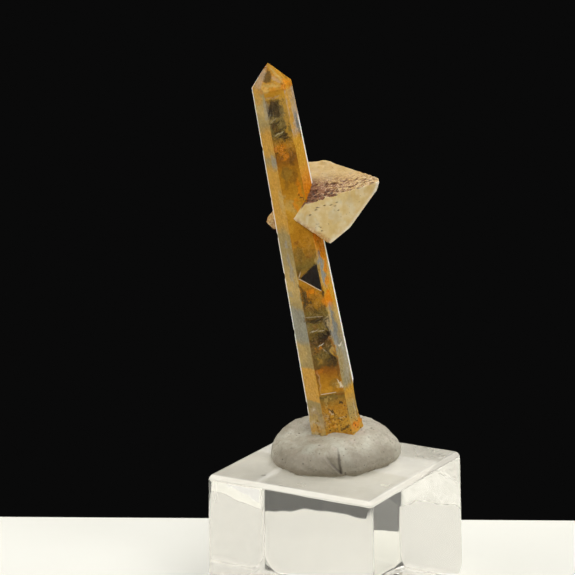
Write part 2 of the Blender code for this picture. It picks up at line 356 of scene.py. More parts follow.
# patches of another tone: tone, middle (u and height), half sizes in mm and strength
blots = (
    ("smoke", -0.58, 59.4, 1.99, 0.84, 0.75),
    ("rose", -2.09, 59, 1.47, 1.51, 0.7),
    ("rose", -2.15, 60, 1.15, 0.67, 0.5),
    ("pale", -2.3, 1.6, 1.6, 1.3, 0.35),
    ("brown", 0.0, 21.8, 1.6, 1.2, 0.35),
    ("pale", 2.2, 11.5, 1.0, 2.8, 0.25),
    ("gold", 1.45, 53.4, 0.75, 3.4, 0.85),
    ("gold", 0.75, 51.5, 0.4, 3.6, 0.6),
    ("mist", 2.45, 51.2, 0.6, 1.7, 0.9),
    ("straw", 2.3, 54.3, 0.7, 0.8, 0.6),
    ("gold", 2.2, 47.4, 1.0, 1.2, 0.7),
    ("straw", -0.47, 57.8, 2, 0.37, 0.6),
    ("amber", -0.11, 56.8, 1.34, 0.59, 0.6),
    ("straw", 1.52, 59.3, 0.71, 1.51, 0.6),
    ("straw", 1.65, 58.3, 0.68, 1.01, 0.4),
    ("orange", 1.92, 57.5, 1.86, 0.84, 0.7),
    ("rose", 0.6, 58.6, 0.8, 0.35, 0.5),
    ("brown", 1.1, 58.0, 0.35, 0.25, 0.6),
    ("brown", 0.3, 59.2, 0.25, 0.2, 0.5),
    ("rose", -0.21, 56.1, 1.58, 0.18, 0.5),
    ("gold", 2.01, 56.2, 1.24, 1.01, 0.6),
    ("gold", -2.25, 56.4, 1.2, 1.34, 0.8),
    ("mist", -1.15, 54.2, 0.66, 1.68, 0.45),
    ("khaki", -2.52, 51.8, 1.11, 1.51, 0.5),
    ("gold", -2.39, 47.9, 1.3, 1.68, 0.8),
    ("mist", -1.47, 45.8, 0.61, 1.18, 0.5),
    ("gold", -2.41, 43.2, 1.25, 1.51, 0.6),
    ("straw", -1.26, 39.3, 0.56, 2.35, 0.6),
    ("gold", -2.7, 35.9, 1.1, 1.51, 0.6),
    ("mist", -1.8, 32.6, 0.56, 0.84, 0.5),
    ("mist", -1.77, 28.2, 0.49, 2.69, 0.5),
    ("milk", -2.79, 24, 1.03, 0.5, 0.5),
    ("straw", -2.8, 25.8, 0.4, 1.34, 0.4),
    ("milk", -2.32, 19.4, 2.02, 2.35, 0.95),
    ("straw", -2.53, 14.3, 1.62, 1.51, 0.6),
    ("milk", -2.3, 16.7, 1.15, 0.84, 0.4),
    ("olive", 0.26, 54.6, 0.65, 0.67, 0.5),
    ("olive", 0.02, 52, 1.12, 0.84, 0.5),
    ("gold", -0.57, 51.3, 0.42, 0.42, 0.4),
    ("khaki", -0.23, 49.9, 0.72, 0.5, 0.4),
    ("orange", -0.38, 47.9, 0.87, 0.76, 0.8),
    ("orange", -0.03, 46.5, 0.54, 0.84, 0.7),
    ("brown", 0.6, 45.8, 0.4, 1.34, 0.55),
    ("olive", -0.23, 43.9, 0.7, 1.18, 0.5),
    ("brown", 0.36, 42.9, 0.5, 1.01, 0.5),
    ("brown", -0.38, 41.9, 0.52, 0.84, 0.4),
    ("orange", 0.61, 40.9, 0.42, 2.02, 0.8),
    ("brown", 0.66, 39.7, 0.31, 0.2, 0.8),
    ("straw", -0.46, 38.5, 0.81, 1.01, 0.5),
    ("orange", 0.13, 38.4, 0.44, 1.01, 0.6),
    ("gold", -0.91, 34.9, 0.86, 1.01, 0.7),
    ("amber", 0.22, 34.1, 1.34, 0.84, 0.7),
    ("rust", -0.63, 32.5, 0.52, 0.37, 0.6),
    ("olive", -0.54, 30.8, 0.78, 1.01, 0.5),
    ("amber", 0.18, 31.2, 0.67, 1.34, 0.5),
    ("rust", 0.2, 29.7, 0.42, 0.37, 0.6),
    ("smoke", -0.81, 27.9, 0.23, 0.84, 0.5),
    ("olive", 0.33, 29.1, 0.65, 0.5, 0.4),
    ("orange", 2.2, 30.3, 1.15, 1.01, 0.95),
    ("orange", 2.31, 28.3, 0.71, 2.02, 0.9),
    ("rust", 1.46, 30.2, 0.34, 0.5, 0.9),
    ("mist", 1.43, 27.6, 0.73, 2.69, 0.9),
    ("orange", 1.93, 25.3, 0.89, 0.59, 0.7),
    ("straw", 0.97, 27.9, 0.26, 3.36, 0.6),
    ("orange", 1.51, 22.6, 1.34, 1.51, 0.95),
    ("mist", 1.39, 18, 1.08, 3.36, 0.95),
    ("straw", 1.08, 19.5, 0.43, 2.35, 0.6),
    ("pale", 1.85, 14.7, 0.55, 0.34, 1),
    ("khaki", 1.65, 11.9, 1.16, 2.35, 0.6),
    ("milk", 2.33, 12, 0.83, 2.02, 0.5),
    ("gold", 0.97, 13.7, 0.27, 1.51, 0.7),
    ("straw", 0.9, 15.4, 0.2, 1.34, 0.5),
    ("pale", 1.04, 8.5, 0.25, 0.45, 0.75),
    ("straw", 0.68, 8.7, 0.41, 0.27, 0.8),
    ("milk", 1.97, 9, 1.2, 1.51, 0.6),
    ("rust", -0.65, 25.2, 0.43, 0.34, 0.3),
    ("orange", -0.09, 24.1, 0.73, 0.67, 0.85),
    ("smoke", -0.88, 25, 0.33, 0.84, 0.5),
    ("olive", -0.74, 23.4, 0.41, 1.01, 0.5),
    ("smoke", -0.73, 22.6, 0.34, 0.67, 0.45),
    ("amber", 0.24, 22.4, 0.65, 1.01, 0.7),
    ("amber", 0.7, 23.4, 0.43, 0.84, 0.6),
    ("brown", -0.38, 20, 1.25, 0.34, 0.7),
    ("olive", -0.32, 17.1, 0.75, 0.76, 0.6),
    ("smoke", 0.3, 16.9, 0.37, 0.84, 0.8),
    ("rust", -0.26, 18.6, 0.49, 0.27, 0.4),
    ("gold", 0.3, 19.4, 0.62, 0.24, 0.4),
    ("orange", -0.22, 15, 0.47, 0.5, 0.75),
    ("rust", -0.57, 14.5, 0.43, 0.5, 0.4),
    ("olive", -0.45, 13.1, 0.9, 1.18, 0.4),
    ("smoke", 0.45, 13.6, 0.39, 1.51, 0.5),
    ("gold", -0.46, 13, 0.43, 0.5, 0.35),
    ("rust", -0.17, 11.5, 0.94, 0.5, 0.8),
    ("orange", -0.63, 11.2, 0.41, 0.5, 0.4),
    ("amber", -0.43, 9.8, 0.75, 1.01, 0.6),
    ("olive", 0.36, 8.8, 0.45, 0.84, 0.5),
    ("gold", -0.24, 8.1, 1.05, 0.27, 0.5),
    ("rust", 0.76, 7, 0.53, 0.34, 0.7),
    ("smoke", -0.56, 7, 0.86, 0.24, 0.35),
    ("olive", -0.42, 6.2, 0.58, 0.5, 0.4),
    ("smoke", -0.25, 4.6, 0.28, 0.29, 1),
    ("smoke", 0.43, 5.6, 0.23, 0.2, 0.9),
    ("brown", 0.18, 6.2, 0.23, 0.17, 0.8),
    ("smoke", 0.27, 3.1, 0.29, 0.22, 0.7),
    ("smoke", 0.64, 1.4, 0.3, 0.34, 0.8),
    ("smoke", 0.34, 2.6, 0.17, 0.17, 0.7),
    ("brown", 0.15, 3.7, 0.18, 0.17, 0.7),
    ("brown", 0.62, 3.4, 0.14, 0.15, 0.7),
    ("pale", -0.37, 4.1, 0.35, 0.13, 0.6),
    ("pale", 0.44, 3.2, 0.17, 0.13, 0.5),
    ("pale", 0.85, 1.7, 0.17, 0.13, 0.4),
    ("orange", -0.33, 1.8, 0.43, 0.5, 0.5),
    ("straw", -0.53, 6, 0.23, 0.84, 0.5),
    ("rose", -0.92, 3.1, 0.23, 1.18, 0.5),
    ("orange", 2.05, 1, 1.78, 0.54, 0.9),
    ("rose", -2.14, 4.5, 1.2, 0.84, 0.6),
    ("pale", -2.2, 4.7, 0.5, 0.35, 0.5),
    ("rose", -1.5, 2.6, 0.8, 1.4, 0.5),
    ("straw", -2.48, 3.2, 1.32, 0.67, 0.5),
    ("gold", -2.32, 1.4, 1.89, 0.67, 0.8),
    ("khaki", 1.41, 3.4, 0.9, 1.01, 0.4),
)
# thin streaks: the same, and the tilt of their length
strokes = (
    ("smoke", -0.7, 54.5, 1.39, 0.12, 0.8, 60),
    ("smoke", -0.15, 54.65, 1.63, 0.1, 0.7, 30),
    ("smoke", -0.44, 54.95, 1.02, 0.1, 0.5, 15),
    ("smoke", -0.7, 53.65, 1.01, 0.1, 0.6, 75),
    ("smoke", -0.43, 51.9, 1.04, 0.12, 0.8, 30),
    ("smoke", -0.23, 50.8, 1.23, 0.12, 0.7, 15),
    ("smoke", -0.02, 49.9, 1.25, 0.13, 0.8, 15),
    ("smoke", 0.32, 49.45, 0.72, 0.12, 0.6, -15),
    ("smoke", -0.77, 51.5, 0.92, 0.1, 0.5, -75),
    ("smoke", 0.43, 51.85, 0.85, 0.08, 0.4, -90),
    ("pale", -0.32, 50.35, 0.91, 0.07, 0.35, 15),
    ("pale", -0.58, 52.5, 0.66, 0.07, 0.3, 30),
    ("brown", 0.38, 46.2, 1.3, 0.1, 0.6, -90),
    ("brown", -0.51, 43.7, 1.5, 0.1, 0.4, -90),
    ("rust", 1.1, 42.45, 1.16, 0.13, 0.6, -90),
    ("brown", 0.63, 39.65, 0.31, 0.1, 0.9, 15),
    ("brown", 0.99, 39.15, 0.37, 0.1, 0.8, 30),
    ("smoke", 0.71, 19.35, 0.37, 0.08, 0.6, 45),
    ("smoke", 0.71, 18.45, 1.05, 0.12, 0.7, -90),
    ("rust", 0.82, 15.65, 1.77, 0.13, 0.7, -75),
    ("rust", 0.96, 12.25, 2.06, 0.13, 0.6, -90),
    ("brown", 0.87, 10.25, 1.36, 0.15, 0.5, -90),
    ("smoke", -0.81, 24.8, 1.21, 0.08, 0.5, -75),
    ("smoke", -0.72, 23.1, 0.73, 0.08, 0.5, -60),
    ("smoke", -0.71, 22.2, 0.59, 0.08, 0.5, 45),
    ("brown", -0.2, 21.45, 1.15, 0.08, 0.45, 0),
    ("smoke", -0.09, 19.55, 1.23, 0.12, 0.6, 0),
    ("pale", -0.43, 18, 0.62, 0.07, 0.4, 15),
    ("pale", 0.12, 17.85, 0.66, 0.07, 0.4, 0),
    ("pale", -0.15, 15.55, 0.53, 0.08, 0.8, 15),
    ("pale", 0.21, 14.4, 0.57, 0.07, 0.35, -45),
    ("smoke", -0.57, 15.7, 0.6, 0.1, 0.5, -45),
    ("brown", -0.89, 13.55, 1.25, 0.1, 0.5, -90),
    ("olive", 0.2, 17.75, 0.9, 0.1, 0.5, -60),
    ("smoke", 0.11, 20.8, 0.76, 0.08, 0.4, -30),
    ("pale", 2.2, 3.4, 1.61, 0.08, 0.5, -90),
    ("brown", 1.05, 4.1, 1, 0.1, 0.4, -90),
    ("pale", 0.76, 8.95, 0.63, 0.08, 0.6, -60),
    ("smoke", 0.19, 25.5, 1.34, 0.07, 0.6, -30),
    ("smoke", 0.82, 23.8, 0.5, 0.15, 0.8, -90),
    ("rose", -0.8, 9.6, 1.7, 0.1, 0.4, -90),
    ("brown", -0.92, 9.85, 1.85, 0.12, 0.5, -90),
    ("brown", -0.92, 4.1, 2.2, 0.08, 0.3, -90),
    ("rust", 2.75, 3.2, 1.7, 0.12, 0.8, 90),
)
# where the stain is missing and the quartz is clear: middle, half sizes and how clear
windows = (
    (-0.3, 54.3, 1.3, 1.3, 0.85),
    (-0.5, 51.6, 0.6, 0.9, 0.6),
    (0.25, 49.9, 0.7, 0.6, 0.6),
    (-0.6, 23.6, 0.4, 1.3, 0.6),
    (0.0, 19.5, 1.3, 0.35, 0.7),
    (-0.1, 16.6, 1.0, 0.8, 0.75),
    (0.5, 16.7, 0.5, 0.8, 0.95),
    (0.6, 13.4, 0.45, 1.6, 0.6),
    (2.5, 50.6, 0.6, 1.9, 0.35),
    (2.65, 49.0, 0.35, 0.7, 0.7),
    (1.9, 17.8, 1.0, 3.4, 0.25),
)


def prismFaces(grown=0.0):
    cos30 = math.cos(math.radians(30))
    apothem = quartz["footRadius"] * cos30
    narrower = (quartz["footRadius"] - quartz["shoulderRadius"]) * cos30
    taper = math.degrees(math.atan2(narrower, quartz["shoulderHeight"]))
    reach = apothem * math.cos(math.radians(taper)) + grown
    return [(heading(quartz["turn"] + 60 * i, taper), reach) for i in range(6)]


def prismRadius(s):
    share = s / quartz["shoulderHeight"]
    return quartz["footRadius"] * (1 - share) + quartz["shoulderRadius"] * share


def edgeChips(draw):
    # small flat flakes off the prism's long edges and the tip
    spots = []
    for _ in range(quartz["chips"]):
        side = draw.randrange(6)
        s = draw.uniform(3, quartz["shoulderHeight"] - 1)
        out = heading(quartz["turn"] + 30 + 60 * side)
        size = draw.uniform(0.12, 0.3)
        spot = out * (prismRadius(s) + 0.3 * size) + Vector((0, 0, s))
        along = Vector((0, 0, 1)) + heading(draw.uniform(0, 360)) * 0.3
        spots.append((spot, along, out.copy(), Vector((size * 2.2, size * 1.2, size * 0.8))))
    return spots


def footPits(draw):
    spots = []
    for _ in range(quartz["footPits"]):
        direction, distance = prismFaces()[draw.randrange(6)]
        across = Vector((0, 0, 1)).cross(direction).normalized()
        s = 0.2 + 6.4 * draw.random() ** 1.3
        spot = across * draw.uniform(-0.45, 0.45) * quartz["footRadius"] + Vector((0, 0, s))
        spot -= direction * (spot.dot(direction) - distance)
        size = draw.uniform(0.12, 0.34)
        slant = across + Vector((0, 0, draw.uniform(-0.6, 0.6)))
        spots.append((spot, slant, direction.copy(), Vector((size * 1.4, size, size * 0.6))))
    size, s = quartz["hollow"]
    out = heading(quartz["turn"] + 90)
    spots.append((out * prismRadius(s) + Vector((0, 0, s)), Vector((0, 0, 1)), out, Vector(size)))
    return spots


def makeQuartz():
    pyramid = [
        (heading(quartz["turn"] + 60 * i, quartz["pyramidRise"]),
         h * math.sin(math.radians(quartz["pyramidRise"])))
        for i, h in enumerate(quartz["pyramidHeights"])
    ]
    rise, height = quartz["tipFacet"]
    ends = [
        (heading(0, rise), height * math.sin(math.radians(rise))),
        (Vector((0, 0, 1)), quartz["tipWear"]),
        (Vector((0, 0, -1)), quartz["sunk"]),
    ]
    crystal = cutCrystal("quartz", prismFaces() + pyramid + ends, (0, 0, 0), 70)
    apply(crystal, "BEVEL", width=quartz["edge"] * mm, segments=2, limit_method="ANGLE",
          angle_limit=math.radians(20))
    draw = random.Random(3)
    carvePits(crystal, edgeChips(draw) + footPits(draw))
    score(crystal, (0, 0, 1), 0.0, quartz["etchedBelow"], 0.3)
    score(crystal, (1, 0, 0), -4.0, 4.1, 0.35)
    score(crystal, (0, 1, 0), -3.9, 4.0, 0.35)
    weigh(crystal, "etched", lambda co: 1 - abs(co.z) / quartz["etchedBelow"])
    rough = texture("etch", "CLOUDS", 0.5, noise_depth=3)
    apply(crystal, "DISPLACE", texture=rough, strength=-0.28 * mm, mid_level=0.55,
          vertex_group="etched")
    return crystal


# adularia

adularia = {
    "centre": (0.0, 3.0, 42.0),
    # each face's direction and its distance from the centre
    "faces": {
        "front": ((-0.075, -0.997, -0.026), 4.19),
        "roof": ((-0.29, -0.486, 0.825), 3.9),
        "back": ((0.252, 0.966, 0.058), 3.28),
        "upperRight": ((0.546, 0.485, 0.683), 5.43),
        "tip": ((0.918, 0.29, -0.27), 4.22),
        "lowerRight": ((0.805, 0.227, -0.548), 2.85),
        "lowerEnd": ((0.63, 0.318, -0.709), 2.44),
        "lowerLeft": ((-0.573, -0.082, -0.815), 5.0),
        "left": ((-0.734, -0.422, 0.532), 5.18),
        "farLeft": ((-0.94, 0.34, 0.0), 8.3),
    },
    "budCentre": (-7.9, 4.6, 39.3),
    "budFaces": {
        "front": ((-0.3, -0.95, 0.05), 1.3),
        "roof": ((-0.73, -0.25, 0.63), 1.45),
        "top": ((0.0, 0.0, 1.0), 1.15),
        "left": ((-0.97, -0.1, 0.22), 2.08),
        "base": ((-0.65, -0.1, -0.75), 1.98),
        "foot": ((0.0, -0.1, -0.99), 1.5),
        "back": ((-0.2, 0.97, 0.1), 1.3),
        "right": ((1.0, 0.0, 0.0), 3.0),
    },
    "edge": 0.09,  # width of the worn edges
    "roofPits": 150,
    "facePits": 34,
}


def quartzTool(grown):
    # the prism again, to cut other pieces where the quartz runs through them
    ends = [(Vector((0, 0, 1)), 56.0), (Vector((0, 0, -1)), quartz["sunk"] - grown)]
    tool = cutCrystal("prism", prismFaces(grown) + ends, (0, 0, 0), 70)
    tool.matrix_world = Matrix.Translation(Vector(place["foot"]) * mm) @ Matrix.Rotation(
        -math.radians(place["lean"]), 4, "Y"
    )
    return tool


def onFace(face, spot):
    direction, distance = adularia["faces"][face]
    normal = Vector(direction).normalized()
    return spot - normal * ((spot - Vector(adularia["centre"])).dot(normal) - distance), normal


def roofPits(draw):
    # etched pits along the roof's front edge, thickest beside the quartz
    roof = Vector(adularia["faces"]["roof"][0]).normalized()
    front = Vector(adularia["faces"]["front"][0]).normalized()
    edge = front.cross(roof).normalized()
    edge = edge if edge.x > 0 else -edge
    uphill = roof.cross(edge)
    uphill = uphill if uphill.z > 0 else -uphill
    start = Vector((-3.9, -0.9, 43.0))
    spots = []
    for _ in range(adularia["roofPits"]):
        along = draw.random() ** 1.45
        rise = draw.random() ** 1.4 * (1 - 0.6 * along)
        spot = start + edge * along * 11.2 + uphill * (4.3 * rise - 0.15)
        spot, normal = onFace("roof", spot)
        slant = edge + uphill * draw.uniform(-0.35, 0.75)
        size = draw.uniform(0.08, 0.18) * (1.15 - 0.4 * along)
        spots.append((spot, slant, normal, Vector((size * draw.uniform(2, 4), size, size * 1.2))))
    for _ in range(adularia["facePits"]):
        low = draw.random() < 0.5
        spot = Vector((draw.uniform(-3.2, -0.4), -1, draw.uniform(36.4, 39.8)))
        if not low:
            spot = Vector((draw.uniform(-3.5, 6.0), -1, 0))
            spot.z = 43.1 + 0.3 * spot.x - draw.random() ** 2 * 1.6
        spot, normal = onFace("front", spot)
        size = draw.uniform(0.06, 0.16)
        spots.append((spot, edge, normal, Vector((size * draw.uniform(1.2, 2.4), size, size))))
    return spots


def makeAdularia():
    faces = list(adularia["faces"].values())
    crystal = cutCrystal("adularia", faces, adularia["centre"], 30)
    apply(crystal, "BEVEL", width=adularia["edge"] * mm, segments=2, limit_method="ANGLE",
          angle_limit=math.radians(20))
    carve(crystal, quartzTool(-0.02))
    carvePits(crystal, roofPits(random.Random(7)))
    for direction, low, high in (((1, 0, 0), -9, 8), ((0, 1, 0), -2, 9), ((0, 0, 1), 36, 49)):
        score(crystal, direction, low + 0.05, high, 0.3)
    # the rear top edge and the lower margin are ragged, the front face nearly flat
    back = Vector(adularia["faces"]["upperRight"][0]).normalized()
    low = Vector(adularia["faces"]["lowerLeft"][0]).normalized()
    centre = Vector(adularia["centre"])
    weigh(crystal, "ragged", lambda co: max(
        0.12,
        1 - (5.6 - (co - centre).dot(back)) * 1.2,
        1 - (5.2 - (co - centre).dot(low)) * 0.8,
        (co.y - 2.0) * 0.3,
    ))
    rough = texture("ragged", "CLOUDS", 0.7, noise_depth=3)
    apply(crystal, "DISPLACE", texture=rough, strength=-0.4 * mm, mid_level=0.62,
          vertex_group="ragged")
    return crystal


def makeBud():
    bud = cutCrystal("adularia_bud", list(adularia["budFaces"].values()),
                     adularia["budCentre"], 10)
    apply(bud, "BEVEL", width=0.1 * mm, segments=2, limit_method="ANGLE",
          angle_limit=math.radians(20))
    for direction, low, high in (((1, 0, 0), -11, -4), ((0, 1, 0), 2, 8), ((0, 0, 1), 37, 41)):
        score(bud, direction, low + 0.05, high, 0.22)
    rough = texture("budRough", "CLOUDS", 0.5, noise_depth=2)
    apply(bud, "DISPLACE", texture=rough, strength=-0.22 * mm, mid_level=0.6)
    carve(bud, quartzTool(-0.02))
    return bud


# putty

putty = {
    "centre": (-0.15, 1.9),
    "radii": (10.35, 10.2),
    # section from the base outwards and up: share of the radius, share of the height
    "section": ((0.6, 0.0), (0.93, 0.0), (1.0, 0.09), (1.03, 0.27), (0.99, 0.52), (0.88, 0.78),
                (0.68, 0.96), (0.4, 1.02)),
    # height at each eighth of a turn from the right: low on the left, pushed up in front
    "heights": (4.9, 6.0, 6.3, 5.8, 4.0, 4.3, 5.4, 5.0),
    "sides": 40,
    "lump": 0.05,  # share of the radius
    "gap": 0.02,  # round the quartz
    # where the front is pinched: lowest point, and how far each side leans for a mm of height
    "crease": {"x": 0.75, "low": 0.9, "slopes": (1.02, 0.14)},
}


def smooth(value, low, high):
    # 0 at low and 1 at high, with soft ends
    share = max(0.0, min(1.0, (value - low) / (high - low)))
    return share * share * (3 - 2 * share)


def puttyRadius(angle):
    rx, ry = putty["radii"]
    lumps = 0.5 * math.sin(3 * angle + 0.7) + 0.3 * math.sin(5 * angle + 2.1)
    ellipse = 1 / math.hypot(math.cos(angle) / rx, math.sin(angle) / ry)
    return ellipse * (1 + putty["lump"] * lumps)


def puttyHeight(angle):
    eighth = 8 * (angle % math.tau) / math.tau
    first = int(eighth) % 8
    blend = (1 - math.cos(math.pi * (eighth - int(eighth)))) / 2
    heights = putty["heights"]
    return heights[first] * (1 - blend) + heights[(first + 1) % 8] * blend


def makePutty():
    x, y = putty["centre"]
    bpy.ops.object.select_all(action="DESELECT")
    bpy.ops.mesh.primitive_circle_add(
        vertices=putty["sides"], radius=putty["section"][0][0] * mm, fill_type="NGON",
        location=(0, 0, 0),
    )
    ball = bpy.context.object
    ball.name = ball.data.name = "putty_lump"
    pick(ball, "EDIT")
    bpy.ops.mesh.flip_normals()
    last = putty["section"][0][0]
    for level, (share, _) in enumerate(putty["section"][1:], 1):
        bpy.ops.mesh.extrude_region_move(TRANSFORM_OT_translate={"value": (0, 0, mm)})
        bpy.ops.transform.resize(value=(share / last, share / last, 1))
        last = share
    pick(ball)
    # the straight stack of rings takes the lump's real outline and heights
    for vert in ball.data.vertices:
        level = round(vert.co.z / mm)
        angle = math.atan2(vert.co.y, vert.co.x)
        share, height = putty["section"][level]
        spot = heading(math.degrees(angle)) * share * puttyRadius(angle)
        vert.co = (spot + Vector((x, y, height * puttyHeight(angle)))) * mm
    pick(ball, "EDIT")
    bpy.ops.mesh.normals_make_consistent(inside=False)
    apply(ball, "SUBSURF", levels=3, render_levels=3)
    return ball


def shapePutty(ball):
    # the pinch in front: a wedge sunk between two folds that meet near the base
    for vert in ball.data.vertices:
        co = vert.co / mm
        if co.y > 0 or co.z < 0.05:
            continue
        up = co.z - putty["crease"]["low"]
        left, right = (putty["crease"]["x"] - slope * up for slope in putty["crease"]["slopes"])
        opened = smooth(up, -0.4, 0.2)
        wedge = smooth(co.x, left - 0.1, left + 0.12) * smooth(co.x, right + 0.15, right - 0.1)
        wedge *= opened * smooth(up, 2.9, 1.6)
        depth = 0.5 * wedge * max(0.0, 1 - 0.5 * (co.x - left) / max(right - left, 0.3))
        groove = math.exp(-((co.x - right) / 0.2) ** 2) * opened * smooth(up, 4.4, 2.0)
        lip = math.exp(-((co.x - left + 0.28) / 0.22) ** 2) * opened * smooth(up, 2.9, 1.2)
        fold = math.exp(-((co.x - right - 0.45) / 0.35) ** 2) * opened * smooth(up, 4.2, 1.8)
        out = Vector((co.x - putty["centre"][0], co.y - putty["centre"][1], 0)).normalized()
        vert.co += out * (lip * 0.22 + fold * 0.16 - depth - groove * 0.3) * mm
    lumps = texture("lumps", "CLOUDS", 2.6, noise_depth=2)
    apply(ball, "DISPLACE", texture=lumps, strength=0.65 * mm, mid_level=0.5)
    grain = texture("grain", "CLOUDS", 0.6, noise_depth=3)
    apply(ball, "DISPLACE", texture=grain, strength=0.2 * mm, mid_level=0.5)
    for vert in ball.data.vertices:
        vert.co.z = max(vert.co.z, 0.02 * mm)
    carve(ball, quartzTool(putty["gap"]))
    return ball


# acrylic block

block = {
    "side": 30.0,
    "flare": 0.3,  # how much further the base reaches on each side
    "edge": 1.0,  # width of the rounded edges
    "segments": 8,
    "foot": 2.6,  # how much is cut off each lower corner
    "groundUpTo": 12.3,  # height of the ground part of the back
    "speck": (-6.8, -11.0, 22.0),
}


def makeBlock():
    half, height = block["side"] / 2, place["blockHeight"]
    bpy.ops.object.select_all(action="DESELECT")
    bpy.ops.mesh.primitive_cube_add(
        size=mm, location=(0, 0, height / 2 * mm), scale=(2 * half, 2 * half, height)
    )
    slab = bpy.context.object
    slab.name = slab.data.name = "clear_block"
    bpy.ops.object.transform_apply(location=True, rotation=False, scale=True)
    pick(slab, "EDIT")
    bpy.ops.mesh.select_all(action="DESELECT")
    bpy.ops.object.mode_set(mode="OBJECT")
    for vert in slab.data.vertices:
        vert.select = vert.co.z < height / 2 * mm
    bpy.ops.object.mode_set(mode="EDIT")
    wider = (half + block["flare"]) / half
    bpy.ops.transform.resize(value=(wider, wider, 1), center_override=(0, 0, 0))
    bpy.ops.mesh.bevel(offset=block["foot"] * mm, affect="VERTICES")
    pick(slab)
    apply(slab, "BEVEL", width=block["edge"] * mm, segments=block["segments"],
          limit_method="ANGLE", harden_normals=False)
    return slab


# materials


